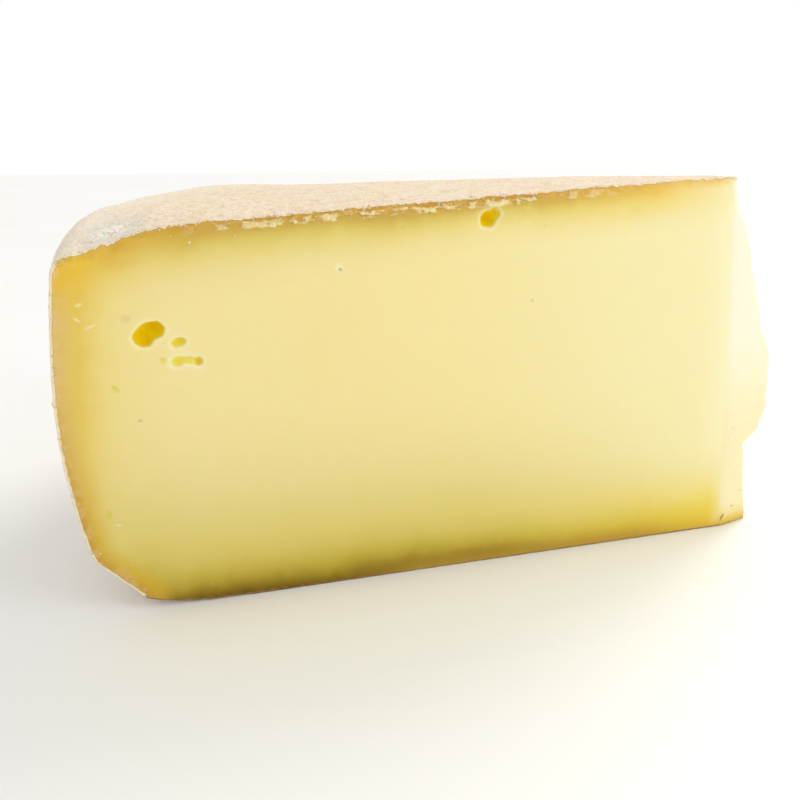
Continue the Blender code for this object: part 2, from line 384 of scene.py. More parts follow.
def band(tree, depth, low, high):
    """1 where a depth lies between two others, with soft borders."""
    off = add(tree, "ShaderNodeMath", (depth, (low + high) / 2), operation="SUBTRACT")
    off = add(tree, "ShaderNodeMath", (off,), operation="ABSOLUTE")
    half = (high - low) / 2
    return add(
        tree, "ShaderNodeMapRange", (off, half + 0.35 * MM, half - 0.15 * MM), interpolation_type="SMOOTHSTEP"
    )


def torn_edge(tree, place, depth, patches):
    """The hollow where the rind came away from the paste, and the flakes that hang below it, both 0 to 1."""
    along = add(tree, "ShaderNodeVectorMath", (place, (0.40, 0.40, 1.2)), operation="MULTIPLY")
    ragged = add(
        tree, "ShaderNodeTexNoise", {"Vector": along, "Scale": 1.0 / 0.0019, "Detail": 4.0, "Roughness": 0.7}
    )
    wander = wavering(tree, depth["top"], patches, -1.0 * MM)
    wander = wavering(tree, wander, ragged.outputs["Fac"], 1.2 * MM)
    off_rim = add(tree, "ShaderNodeMapRange", (depth["rim"], 0.026, 0.044))
    off_break = add(tree, "ShaderNodeMapRange", (depth["broken"], 0.030, 0.060))
    open_here = add(
        tree, "ShaderNodeMapRange", (patches, 0.40, 0.58, 0.30, 1.0), interpolation_type="SMOOTHSTEP"
    )
    fainter = add(tree, "ShaderNodeMath", (off_rim, 0.6, 0.4), operation="MULTIPLY_ADD")
    hollow = add(tree, "ShaderNodeMapRange", (wander, 2.3 * MM, 1.1 * MM), interpolation_type="SMOOTHSTEP")
    hollow = product(tree, hollow, open_here, fainter)
    other = add(tree, "ShaderNodeSeparateXYZ", (ragged.outputs["Color"],)).outputs["Y"]
    torn = add(tree, "ShaderNodeMath", (patches, 1.1, other), operation="MULTIPLY_ADD")
    hanging = add(tree, "ShaderNodeMapRange", (torn, 1.00, 1.10), interpolation_type="SMOOTHSTEP")
    along_middle = product(tree, off_rim, off_break)
    return hollow, product(tree, band(tree, wander, 1.0 * MM, 2.3 * MM), hanging, along_middle)


def relief_tree():
    """Distance maps to each side, then the rind's grain, the torn edge, the break and the knife's waves."""
    lengths = (
        "Rind Height", "Rind Grain", "Tear Height", "Crack Depth", "Flake Height", "Break Height",
        "Paste Height",
    )
    inputs = [(side, "Object") for side in SIDES] + [(label, "Float") for label in lengths]
    tree = geometry_tree("wedge relief", inputs + [("Seed", "Float"), ("Material", "Material")])
    given = add(tree, "NodeGroupInput").outputs

    geometry = given["Geometry"]
    depth = {}
    for side in SIDES:
        name = side + "_depth"
        guide = add(tree, "GeometryNodeObjectInfo", {"Object": given[side]}).outputs["Geometry"]
        near = add(tree, "GeometryNodeProximity", (guide,), target_element="FACES").outputs["Distance"]
        geometry = add(
            tree, "GeometryNodeStoreNamedAttribute", {"Geometry": geometry, "Name": name, "Value": near}
        )
        depth[side] = add(tree, "GeometryNodeInputNamedAttribute", {"Name": name}, data_type="FLOAT")

    # Round off the crease between the front cut and the break, clear of the rind.
    place = add(tree, "GeometryNodeInputPosition")
    crease = product(tree, fade(tree, depth["front"], 0.004), fade(tree, depth["broken"], 0.004))
    rinds = add(tree, "ShaderNodeMath", (depth["top"], depth["base"]), operation="MINIMUM")
    clear = add(tree, "ShaderNodeMapRange", (rinds, 0.0, 0.005))
    rounded = add(
        tree, "GeometryNodeBlurAttribute",
        {"Value": place, "Iterations": 40, "Weight": product(tree, crease, clear)}, data_type="FLOAT_VECTOR",
    )
    geometry = add(tree, "GeometryNodeSetPosition", {"Geometry": geometry, "Position": rounded})
    facing = add(tree, "GeometryNodeInputNormal").outputs[0]

    def grain(share, detail):
        """Signed noise whose bumps are a share of the rind's grain wide, and the same as a vector."""
        scale = add(tree, "ShaderNodeMath", (1.0 / share, given["Rind Grain"]), operation="DIVIDE")
        made = add(
            tree, "ShaderNodeTexNoise",
            {"Vector": place, "W": given["Seed"], "Scale": scale, "Detail": detail, "Roughness": 0.6},
            noise_dimensions="4D",
        )
        signed = add(tree, "ShaderNodeMath", (made.outputs["Fac"], 0.5), operation="SUBTRACT")
        return signed, made.outputs["Color"]

    big, _ = grain(4.5, 1.0)
    middle, _ = grain(1.0, 2.0)
    fine, _ = grain(0.42, 2.0)
    _, tearing = grain(0.5, 3.0)
    _, tearing_wide = grain(1.6, 2.0)
    crags, _ = grain(1.5, 4.0)
    waves, _ = grain(1.4, 1.0)

    outside = add(tree, "ShaderNodeMath", (depth["top"], depth["rim"]), operation="MINIMUM")
    rind = fade(tree, outside, 0.8 * MM)
    under = fade(tree, depth["base"], 0.8 * MM)
    cut = add(tree, "ShaderNodeMath", (depth["front"], depth["back"]), operation="MINIMUM")
    edge = product(tree, fade(tree, outside, 1.8 * MM), fade(tree, cut, 1.6 * MM))
    broken = fade(tree, depth["broken"], 0.8 * MM)

    rough = add(tree, "ShaderNodeMath", (fine, 1.1, middle), operation="MULTIPLY_ADD")
    rough = add(tree, "ShaderNodeMath", (big, 0.4, rough), operation="MULTIPLY_ADD")
    rough = product(tree, rough, given["Rind Height"])
    lift = product(tree, rough, rind)
    crags = product(tree, crags, given["Break Height"])
    lift = add(tree, "ShaderNodeMath", (crags, broken, lift), operation="MULTIPLY_ADD")
    lift = add(tree, "ShaderNodeMath", (waves, given["Paste Height"], lift), operation="MULTIPLY_ADD")

    # The flakes stand out of the cut, and the hollow sinks into it beside the rind.
    hollow, flakes = torn_edge(tree, place, depth, patchy(tree, place))
    off_rind = add(tree, "ShaderNodeMath", (1.0, rind), operation="SUBTRACT")
    sunk = product(tree, hollow, off_rind, given["Crack Depth"])
    ridge = product(tree, flakes, given["Flake Height"])
    ridge = add(tree, "ShaderNodeMath", (ridge, sunk), operation="SUBTRACT")
    lift = add(tree, "ShaderNodeMath", (ridge, fade(tree, cut, 0.5 * MM), lift), operation="MULTIPLY_ADD")

    # The base's grain only sinks in, so that the wedge keeps its footing.
    pressed = add(tree, "ShaderNodeMath", (product(tree, rough, 0.6),), operation="ABSOLUTE")
    lift = add(tree, "ShaderNodeMix", {0: under, 2: lift, 3: product(tree, pressed, -1.0)})
    lifted = add(tree, "ShaderNodeVectorMath", {0: facing, 3: lift}, operation="SCALE")

    torn = add(tree, "ShaderNodeVectorMath", (tearing, tearing_wide), operation="ADD")
    torn = add(tree, "ShaderNodeVectorMath", (torn, (1.0, 1.0, 1.0)), operation="SUBTRACT")
    strength = product(tree, edge, given["Tear Height"])
    torn = add(tree, "ShaderNodeVectorMath", {0: torn, 3: strength}, operation="SCALE")
    moved = add(tree, "ShaderNodeVectorMath", (lifted, torn), operation="ADD")
    moved = add(tree, "ShaderNodeVectorMath", (moved, place), operation="ADD")
    above_floor = add(tree, "ShaderNodeVectorMath", (moved, (-9.0, -9.0, 0.0)), operation="MAXIMUM")
    geometry = add(tree, "GeometryNodeSetPosition", {"Geometry": geometry, "Position": above_floor})
    finish_tree(tree, geometry, given["Material"])
    return tree


def thin_out(wedge, triangles):
    """Drop triangles down to a number of them, fewest from the torn edges and most from the calm cuts."""
    mesh = wedge.data
    depth = {side: np.zeros(len(mesh.vertices)) for side in SIDES}
    for side, values in depth.items():
        mesh.attributes[side + "_depth"].data.foreach_get("value", values)
    outside = np.minimum(depth["top"], depth["rim"])
    cut = np.minimum(np.minimum(depth["front"], depth["back"]), depth["broken"])
    calm = np.where(outside < 1.0 * MM, 1, 3)
    calm[(outside < 3.0 * MM) & (cut < 1.5 * MM)] = 0
    calm[depth["eyes"] < 0.8 * MM] = 0
    calm[depth["base"] < 1.0 * MM] = 2
    group = wedge.vertex_groups.new(name="calm")
    for level, weight in enumerate(CALM_WEIGHTS):
        group.add(np.flatnonzero(calm == level).tolist(), weight, "REPLACE")
    now = sum(len(face.vertices) - 2 for face in mesh.polygons)
    decimate = wedge.modifiers.new("thin out", "DECIMATE")
    decimate.ratio = min(1.0, triangles / now)
    decimate.vertex_group = "calm"
    decimate.vertex_group_factor = CALM_FACTOR
    plain_mesh(wedge)
    wedge.vertex_groups.clear()


# ---- materials --------------------------------------------------------------------------------------

# Small marks on the front cut: distance from the tip's foot, height, half length, half width, tilt, colour.
MARKS = (
    (0.1757, 0.0569, 0.0012, 0.00050, 40.0, "#E2D562"),
    (0.1722, 0.0729, 0.0011, 0.00090, 0.0, "#E6D390"),
    (0.1648, 0.0628, 0.0008, 0.00075, 0.0, "#E8D870"),
    (0.1799, 0.0262, 0.0013, 0.00060, 90.0, "#DFCC50"),
    (0.1778, 0.0235, 0.0007, 0.00035, 10.0, "#F4E4A8"),
    (0.1816, 0.0765, 0.0009, 0.00045, -15.0, "#F6DE92"),
    (0.1822, 0.0732, 0.0010, 0.00040, 35.0, "#F4DE90"),
    (0.1796, 0.0715, 0.0015, 0.00045, -20.0, "#F4E096"),
    (0.1709, 0.0488, 0.0006, 0.00035, 10.0, "#E0CC8C"),
    (0.1228, 0.0822, 0.0012, 0.00120, 0.0, "#F4E8B4"),
    (0.1227, 0.0818, 0.0005, 0.00040, 0.0, "#D6C078"),
    (0.0725, 0.0717, 0.0006, 0.00040, 70.0, "#E6D79A"),
    # A dark slit low by the tip: painted shade inside it.
    (0.0069, 0.0028, 0.0012, 0.00034, -62.0, "#8F7E40"),
    (0.0032, 0.0056, 0.0009, 0.00035, 5.0, "#C9C0A0"),
    (0.0061, 0.0306, 0.0009, 0.00030, 0.0, "#E6DDB0"),
    # A dark notch at the tip's foot: painted shade inside it.
    (0.0000, 0.0100, 0.0009, 0.00030, -25.0, "#86703A"),
)
TIP_FOOT_X = LOW.x + 0.1892
BLOOM_PLACE = (LOW.x + 0.0162, LOW.y + 0.0090, 0.0914)    # the whitest patch of bloom, on the shoulder
BLOOM_REACH = 0.012

# The noises the cheese is coloured with: width of the bumps in metres, detail, roughness, distortion.
NOISES = {
    "slow": (0.030, 2.0, 0.5, 0.0),
    "grain": (0.0011, 3.0, 0.6, 0.0),
    "speck": (0.0017, 2.0, 0.65, 0.0),
    "dust": (0.0008, 2.0, 0.6, 0.0),
    "smears": (0.0019, 4.0, 0.7, 0.4),
    "patches": (0.014, 4.0, 0.6, 0.0),
    "wrinkles": (0.0044, 3.0, 0.6, 1.2),
    "fibres": (0.0024, 5.0, 0.72, 0.5),
    "tint": (0.0075, 4.0, 0.65, 0.0),
}
STREAKED = ("fibres", "tint")    # the noises that are stretched the way the rind was rubbed


def new_material(name):
    """A material, its node tree and the place on the object that is being shaded."""
    made = bpy.data.materials.new(name)
    made.use_nodes = True
    return made, made.node_tree, add(made.node_tree, "ShaderNodeTexCoord").outputs["Object"]


def dress(tree, looks):
    """Give the shader its looks, by the names of its inputs."""
    for name, value in looks.items():
        plug(tree, tree.nodes["Principled BSDF"].inputs[name], value)


def layer(tree, below, depth, stops, *covers):
    """Lay a band of colour over what is below: stops are (depth in millimetres, hex, cover)."""
    reach = stops[-1][0] * MM
    full = [(place * MM / reach, linear(shade)[:3] + (cover,)) for place, shade, cover in stops]
    share = add(tree, "ShaderNodeMath", (depth, reach), operation="DIVIDE")
    ramp = add(tree, "ShaderNodeValToRGB", (share,), stops=full)
    return paint(tree, below, ramp.outputs["Color"], ramp.outputs["Alpha"], *covers)


def plain_paste(tree, middle, depth, upward, noises):
    """The paste, with a very faint mottle, paler towards the thin end: painted light of the brightly lit,
    glowing tip.
    """
    plain = paint(tree, middle, "#F0DE97", noises["slow"])
    plain = paint(tree, plain, "#F6EAB4", noises["quick"], 0.20)
    # Painted light: paler over the 110 mm nearest the break, and paler still high on the tip, where it glows.
    plain = paint(tree, plain, "#EEE8BA", fade(tree, depth["broken"], 0.110), 0.6)
    pale_tip = add(tree, "ShaderNodeMapRange", (upward, 0.014, 0.040, 0.0, 0.6))
    return paint(tree, plain, "#F3EFC6", fade(tree, depth["broken"], 0.012), pale_tip)


def dried_and_shaded_paste(tree, paste, depth, upward, noises, shares):
    """It dries and darkens towards the rind, in a layer that thins out towards the wheel's middle; over the
    base the darkening is partly painted shade along the foot.
    """
    under = {}
    for side, waver in (("top", 2.0 * MM), ("rim", 2.0 * MM), ("base", 3.0 * MM)):
        under[side] = wavering(tree, depth[side], noises["slow"], waver)
        under[side] = wavering(tree, under[side], noises["quick"], 0.8 * MM)
    thinner = add(tree, "ShaderNodeMapRange", (depth["broken"], 0.060, 0.150, 0.5, 0.0))
    beyond = add(tree, "ShaderNodeMath", (under["top"], 2.5 * MM), operation="SUBTRACT")
    beyond = add(tree, "ShaderNodeMath", (beyond, 0.0), operation="MAXIMUM")
    under["top"] = add(tree, "ShaderNodeMath", (beyond, thinner, under["top"]), operation="MULTIPLY_ADD")

    # Under the top: lighter by the tip, darker from there on, and a thin line beside the break.
    near_tip = add(tree, "ShaderNodeMapRange", (depth["broken"], -0.002, 0.024))
    paste = layer(tree, paste, under["top"], (
        (0.0, "#E2B85C", 1.0), (0.8, "#E2B850", 1.0), (1.5, "#E3BE50", 1.0), (2.2, "#E4C156", 1.0),
        (3.2, "#E8C962", 1.0), (4.8, "#EACD6B", 1.0), (6.2, "#EAD275", 0.97), (8.5, "#EBD680", 0.94),
        (10.8, "#EBD98D", 0.85), (13.8, "#ECDD9B", 0.6), (19.0, "#EDDEA1", 0.0),
    ), near_tip)
    paste = layer(tree, paste, under["top"], (
        (0.0, "#D4AC54", 1.0), (0.8, "#CEA64C", 1.0), (1.5, "#CAA74B", 1.0), (2.2, "#CBAB4D", 1.0),
        (3.0, "#D0B250", 1.0), (4.0, "#D7BB5B", 1.0), (5.0, "#DBC565", 1.0), (6.5, "#E1CD74", 1.0),
        (8.0, "#E5D37E", 0.97), (10.0, "#E9D88C", 0.9), (13.0, "#EFDD98", 0.6), (19.0, "#F1E09F", 0.0),
    ), shares["far out"])
    by_break = add(tree, "ShaderNodeMapRange", (depth["broken"], 0.001, 0.006))
    paste = layer(tree, paste, depth["top"], (
        (0.0, "#E2B85C", 1.0), (1.0, "#E4BE58", 0.8), (1.8, "#E6C25C", 0.4), (3.0, "#E8C864", 0.0),
    ), by_break, fade(tree, depth["broken"], 0.040))

    paste = layer(tree, paste, under["rim"], (
        (0.0, "#DFBB6C", 1.0), (1.5, "#E0BE6A", 1.0), (3.0, "#E1C268", 1.0), (4.5, "#E4C863", 1.0),
        (6.0, "#E6C95E", 1.0), (8.0, "#E9D070", 0.95), (11.0, "#ECD882", 0.85), (15.0, "#EEDB8C", 0.6),
        (27.0, "#F0DE96", 0.0),
    ))

    # Over the base: golden by the tip and brown towards the rim, partly drying and partly painted shade along
    # the foot, with a painted lit strip along its edge.
    inward = add(tree, "ShaderNodeMapRange", (depth["broken"], 0.0016, 0.0060))
    inward = add(tree, "ShaderNodeMath", (inward,), operation="SQRT")
    inward = add(tree, "ShaderNodeMath", (inward, shares["foot"]), operation="MAXIMUM")
    paste = layer(tree, paste, under["base"], (
        (0.0, "#C09538", 1.0), (0.9, "#D8B344", 1.0), (1.6, "#DFB93C", 1.0), (2.8, "#E1BF38", 1.0),
        (4.1, "#E3C540", 1.0), (6.2, "#E5CC4A", 1.0), (9.0, "#E8D25C", 0.97), (13.8, "#EBD97C", 0.8),
        (26.0, "#EADB94", 0.0),
    ), inward)
    # Darker towards the foot away from the tip: partly dried paste, partly painted shade.
    outward = add(tree, "ShaderNodeMapRange", (depth["broken"], 0.006, 0.076))
    paste = layer(tree, paste, under["base"], (
        (0.0, "#6E5505", 1.0), (0.8, "#7F6004", 1.0), (1.3, "#886D0A", 1.0), (2.1, "#957A14", 1.0),
        (3.1, "#A58B1E", 1.0), (4.7, "#B9A132", 1.0), (6.8, "#C9B447", 1.0), (10.5, "#D8C563", 0.97),
        (15.8, "#DFCE74", 0.9), (25.0, "#E2D283", 0.7), (35.0, "#E8D88F", 0.4), (50.0, "#EEDD96", 0.0),
    ), outward)
    # Painted light: a lit strip along the base's edge, towards the tip.
    lit = paint(tree, linear("#B69630"), "#C49C3A", fade(tree, depth["broken"], 0.105))
    strip = add(tree, "ShaderNodeMapRange", (depth["broken"], 0.012, 0.030, 0.0, 0.9))
    paste = paint(tree, paste, lit, strip, shares["tipward"], fade(tree, depth["base"], 5.4 * MM))

    # In the corner between the rim and the top, and past it.
    corner = fade(tree, depth["rim"], 0.036)
    paste = paint(tree, paste, "#E8BE26", corner, fade(tree, under["top"], 0.013), 0.9)
    past_corner = add(tree, "ShaderNodeMapRange", (depth["rim"], 0.006, 0.013, 0.0, 0.8))
    past_corner = product(tree, past_corner, fade(tree, depth["rim"], 0.050))
    paste = paint(tree, paste, "#D0A42A", past_corner, fade(tree, under["top"], 9.0 * MM))

    # The wheel's side: a brown-gold line behind the rind, strongest low down.
    low_down = add(tree, "ShaderNodeMapRange", (upward, 0.060, 0.030))
    return layer(tree, paste, depth["rim"], (
        (0.0, "#C79A3E", 1.0), (1.4, "#CCA036", 0.95), (2.2, "#D2A830", 0.85), (3.6, "#D8B22E", 0.7),
        (7.0, "#E0BE40", 0.0),
    ), low_down)


def torn_paste(tree, paste, place, depth, noises, shares):
    """Dry specks beside the rind, the hollow under it, painted amber partly as shade under the rind's lip,
    and the flakes that hang there.
    """
    smears = add(tree, "ShaderNodeMapRange", (noises["smears"], 0.44, 0.62), interpolation_type="SMOOTHSTEP")
    for side, reach, cover, shade in (("rim", 4.5, 0.45, "#EACB98"), ("base", 1.2, 0.4, "#D6B05A")):
        paste = paint(tree, paste, shade, fade(tree, depth[side], reach * MM), smears, cover)
    by_corner = product(tree, fade(tree, depth["top"], 3.5 * MM), fade(tree, depth["rim"], 0.016))
    paste = paint(tree, paste, "#F0DCA6", by_corner, smears, 0.5)
    hollow, flakes = torn_edge(tree, place, depth, noises["quick"])
    # The hollow is painted amber: partly golden paste, partly painted shade under the overhanging rind.
    paste = paint(tree, paste, "#CB9B24", hollow, shares["far out"], 0.8)
    dusty = add(tree, "ShaderNodeMath", (noises["dust"], 0.35, 0.55), operation="MULTIPLY_ADD")
    return paint(tree, paste, "#F6E8B6", flakes, dusty)


def leave_marks(tree, paste, height, place):
    """Nicks and specks left on the front cut, in the paste's colour and in its height."""
    for out, up, half_length, half_width, tilt, shade in MARKS:
        local = add(
            tree, "ShaderNodeMapping",
            {"Vector": place, "Location": (TIP_FOOT_X - out, LOW.y, up),
             "Rotation": (0.0, radians(tilt), 0.0), "Scale": (half_length, 2.0 * MM, half_width)},
            vector_type="TEXTURE",
        )
        far = add(tree, "ShaderNodeVectorMath", (local,), operation="LENGTH").outputs["Value"]
        dent = add(tree, "ShaderNodeMapRange", (far, 1.4, 0.4), interpolation_type="SMOOTHSTEP")
        paste = paint(tree, paste, shade, dent)
        height = add(tree, "ShaderNodeMath", (dent, -0.3, height), operation="MULTIPLY_ADD")
    return paste, height


def rubbed_rind(tree, dry, place, depth, upward, noises, shares):
    """Beige with paler bloom in patches, browner in its pits and where the knife scuffed it."""
    cut = depth["cut"]
    rind = add(tree, "ShaderNodeValToRGB", (noises["fibres"],), stops=(
        (0.28, linear("#BE9362")), (0.42, linear("#E6C8A2")), (0.55, dry), (0.74, linear("#FCF4E6")),
    )).outputs["Color"]
    tint = add(tree, "ShaderNodeValToRGB", (noises["tint"],), stops=(
        (0.35, linear("#E2E0B4")), (0.62, linear("#F4CFBC")),
    )).outputs["Color"]
    rind = paint(tree, rind, tint, 0.34)
    rind = paint(tree, rind, "#FDF8F0", noises["dust"], 0.36)
    bloom = add(tree, "ShaderNodeMapRange", (noises["patches"], 0.50, 0.68), interpolation_type="SMOOTHSTEP")
    rind = paint(tree, rind, "#F2E6D6", bloom, 0.45)
    # Paler up the shoulder towards the top: partly bloom, partly painted light where the top is lit.
    shoulder = add(tree, "ShaderNodeMapRange", (upward, 0.060, 0.085, 0.25, 0.65))
    rind = paint(tree, rind, "#F5EBD8", shoulder, fade(tree, depth["rim"], 0.030))
    rind = paint(tree, rind, "#DDB27A", fade(tree, cut, 1.6 * MM), fade(tree, noises["quick"], 0.62), 0.6)

    # One patch of white bloom, which the rind's wrinkles show through.
    to_bloom = add(tree, "ShaderNodeVectorMath", (place, BLOOM_PLACE), operation="DISTANCE")
    to_bloom = wavering(tree, to_bloom.outputs["Value"], noises["patches"], 5.0 * MM)
    bloomed = fade(tree, to_bloom, BLOOM_REACH)
    wrinkled = add(tree, "ShaderNodeMath", (noises["wrinkles"], 0.5), operation="SUBTRACT")
    wrinkled = add(tree, "ShaderNodeMath", (wrinkled,), operation="ABSOLUTE")
    open_skin = add(tree, "ShaderNodeMapRange", (wrinkled, 0.006, 0.050, 0.1, 1.0))
    rind = paint(tree, rind, "#C6B598", bloomed, 0.8)
    rind = paint(tree, rind, "#FAF5EA", bloomed, open_skin)

    # Its cut edges: pale on the wheel's side and under the top, where the lip's paleness is partly painted
    # highlight; brown over the base, partly painted shade at the foot.
    near_cut = fade(tree, cut, 0.8 * MM)
    rind = paint(tree, rind, "#F9EAC4", fade(tree, depth["rim"], 1.5 * MM), near_cut, 0.9)
    under_top = add(tree, "ShaderNodeMath", (1.0, fade(tree, depth["top"], 0.3 * MM)), operation="SUBTRACT")
    # Under the top the torn lip is pale: partly its own colour, partly a painted highlight along the lip.
    rind = paint(tree, rind, "#FFE9C2", near_cut, under_top, 0.7)
    # Over the base the cut edge is dark brown: partly its own colour, partly painted shade at the foot.
    foot_brown_and_shade = paint(tree, linear("#86620E"), "#AC8226", shares["tipward"])
    return paint(tree, rind, foot_brown_and_shade, fade(tree, depth["base"], 1.6 * MM), fade(tree, cut, 1.0 * MM), 0.97)


def rind_share(tree, depth, speck):
    """Where the rind is: half a millimetre thick, ragged at the top's edge, and gone where the tip broke."""
    from_rim = add(tree, "ShaderNodeMath", (depth["rim"], 0.15 * MM), operation="SUBTRACT")
    from_base = add(tree, "ShaderNodeMath", (depth["base"], 0.1 * MM), operation="ADD")
    from_sides = add(tree, "ShaderNodeMath", (from_rim, from_base), operation="MINIMUM")
    broken_off = product(tree, fade(tree, depth["broken"], 1.8 * MM), 4.0 * MM)
    from_sides = add(tree, "ShaderNodeMath", (from_sides, broken_off), operation="ADD")
    bare = []
    for inward, ragged, least in ((depth["top"], 1.5 * MM, -0.4 * MM), (from_sides, 0.5 * MM, 0.3 * MM)):
        thickness = add(tree, "ShaderNodeMath", (speck, ragged, least), operation="MULTIPLY_ADD")
        bare.append(add(tree, "ShaderNodeMath", (inward, thickness), operation="SUBTRACT"))
    bare = add(tree, "ShaderNodeMath", bare, operation="MINIMUM")
    return add(tree, "ShaderNodeMapRange", (bare, 0.12 * MM, -0.12 * MM), interpolation_type="SMOOTHSTEP")


# Pressed cow's-milk cheese: light goes a little way into the paste and comes back warmer.
CHEESE_IOR = 1.45
GLOW_COLOURS = (1.0, 0.62, 0.22)    # how far red, green and blue light goes into it, as shares


def cheese_material(settings):
    """Pressed cow's-milk cheese: knife-cut paste, moist and even, under a dry rind rubbed by hand.

    The paste is pale butter yellow and a little translucent, and it dries darker and more golden towards the
    rind. The rind is matt, grainy and pinkish beige.
    """
    made, tree, place = new_material("pressed cheese, cut and rubbed rind")
    upward = add(tree, "ShaderNodeSeparateXYZ", (place,)).outputs["Z"]
    depth = {
        side: add(tree, "ShaderNodeAttribute", attribute_name=side + "_depth").outputs["Fac"]
        for side in SIDES
    }
    depth["cut"] = add(tree, "ShaderNodeMath", (depth["front"], depth["back"]), operation="MINIMUM")
    streaks = add(
        tree, "ShaderNodeMapping", {"Vector": place, "Rotation": (0.0, 0.0, 0.35), "Scale": (0.85, 1.0, 1.0)}
    )
    noises = {"quick": patchy(tree, place)}
    for name, (width, detail, roughness, distortion) in NOISES.items():
        noises[name] = add(
            tree, "ShaderNodeTexNoise",
            {"Vector": streaks if name in STREAKED else place, "Scale": 1.0 / width, "Detail": detail,
             "Roughness": roughness, "Distortion": distortion},
        ).outputs["Fac"]
    noises["dust"] = add(
        tree, "ShaderNodeMapRange", (noises["dust"], 0.46, 0.62), interpolation_type="SMOOTHSTEP"
    )
    # How far a place belongs to the wedge's foot, to its part away from the tip, and to the half by the tip.
    shares = {
        "foot": fade(tree, depth["base"], 8.5 * MM),
        "far out": add(tree, "ShaderNodeMapRange", (depth["broken"], 0.020, 0.060)),
        "tipward": add(tree, "ShaderNodeMapRange", (depth["broken"], 0.118, 0.096)),
    }
    paste = plain_paste(tree, tuple(settings.paste), depth, upward, noises)
    paste = dried_and_shaded_paste(tree, paste, depth, upward, noises, shares)
    paste = torn_paste(tree, paste, place, depth, noises, shares)

    # Eyes: moist walls, painted deeper yellow the deeper they are, as painted light bounced about inside the
    # eye.
    inside = add(tree, "ShaderNodeMath", (depth["cut"], 4.0 * MM), operation="DIVIDE")
    walls = add(tree, "ShaderNodeValToRGB", (inside,), stops=(
        (0.0, linear("#F0E190")), (0.12, linear("#EBDC7A")), (0.25, linear("#ECDA56")),
        (0.42, linear("#F1D81A")), (1.0, linear("#F6D400")),
    ))
    sunk = add(tree, "ShaderNodeMapRange", (depth["cut"], 0.05 * MM, 0.35 * MM))
    in_eye = product(tree, fade(tree, depth["eyes"], 1.2 * MM), sunk)
    off_eye = add(tree, "ShaderNodeMath", (1.0, in_eye), operation="SUBTRACT")
    # A pale ring round each eye: a painted highlight on its moist rim.
    paste = paint(tree, paste, "#F8F0CE", fade(tree, depth["eyes"], 1.4 * MM), 0.36)
    paste = paint(tree, paste, walls.outputs["Color"], in_eye)

    # The broken tip is drier and paler, whiter higher up: partly its own dry colour, partly painted light of
    # the bright, backlit tip.
    off_foot = add(tree, "ShaderNodeMath", (1.0, shares["foot"]), operation="SUBTRACT")
    in_break = product(tree, fade(tree, depth["broken"], 2.6 * MM), off_foot)
    whiter = add(tree, "ShaderNodeMapRange", (upward, 0.030, 0.062), interpolation_type="SMOOTHSTEP")
    dry = paint(tree, linear("#F0E4B6"), "#F3EDDA", whiter)
    paste = paint(tree, paste, dry, in_break, 0.75)

    paste, height = leave_marks(tree, paste, product(tree, noises["quick"], 0.10), place)
    rind = rubbed_rind(tree, tuple(settings.rind), place, depth, upward, noises, shares)
    is_rind = product(tree, rind_share(tree, depth, noises["speck"]), off_eye)
    rough = add(tree, "ShaderNodeMath", (noises["grain"], noises["fibres"]), operation="ADD")
    crags = product(tree, noises["speck"], 0.6)
    relief = add(tree, "ShaderNodeMath", (rough, is_rind, height), operation="MULTIPLY_ADD")
    relief = add(tree, "ShaderNodeMath", (crags, in_break, relief), operation="MULTIPLY_ADD")
    dress(tree, {
        "Base Color": paint(tree, paste, rind, is_rind),
        "Roughness": add(tree, "ShaderNodeMapRange", {0: is_rind, 3: 0.46, 4: 0.85}),
        "Normal": add(tree, "ShaderNodeBump", {"Height": relief, "Distance": 0.5 * MM, "Strength": 0.9}),
        "Specular IOR Level": add(tree, "ShaderNodeMapRange", {0: in_eye, 3: 0.30, 4: 0.0}),
        "IOR": CHEESE_IOR,
        "Subsurface Weight": 0.30,
        "Subsurface Radius": GLOW_COLOURS,
        "Subsurface Scale": 3.0 * MM,
    })
    return made


def crumb_material(name, dark, light):
    """Crumbs the knife tore from the cheese: dry and matt, each one its own shade."""
    made, tree, place = new_material(name)
    shade = add(tree, "ShaderNodeAttribute", attribute_name="shade").outputs["Fac"]
    grain = add(tree, "ShaderNodeTexNoise", {"Vector": place, "Scale": 1.0 / 0.0004, "Detail": 3.0})
    dress(tree, {
        "Base Color": paint(tree, linear(dark), light, wavering(tree, shade, grain, 0.4)),
        "Normal": add(tree, "ShaderNodeBump", {"Height": grain, "Distance": 0.1 * MM}),
        "Roughness": 0.75,
        "Subsurface Weight": 0.2,
        "Subsurface Radius": GLOW_COLOURS,
        "Subsurface Scale": 1.0 * MM,
    })
    return made


def floor_material():
    """Matt white board, with a faint unevenness of tone."""
    made, tree, place = new_material("matt white board")
    tone = add(tree, "ShaderNodeTexNoise", {"Vector": place, "Scale": 1.0 / 0.25, "Detail": 3.0})
    dress(tree, {"Base Color": paint(tree, linear("#F4F4F3"), "#FAFAF9", tone), "Roughness": 0.7})
    return made


# ---- crumbs -----------------------------------------------------------------------------------------

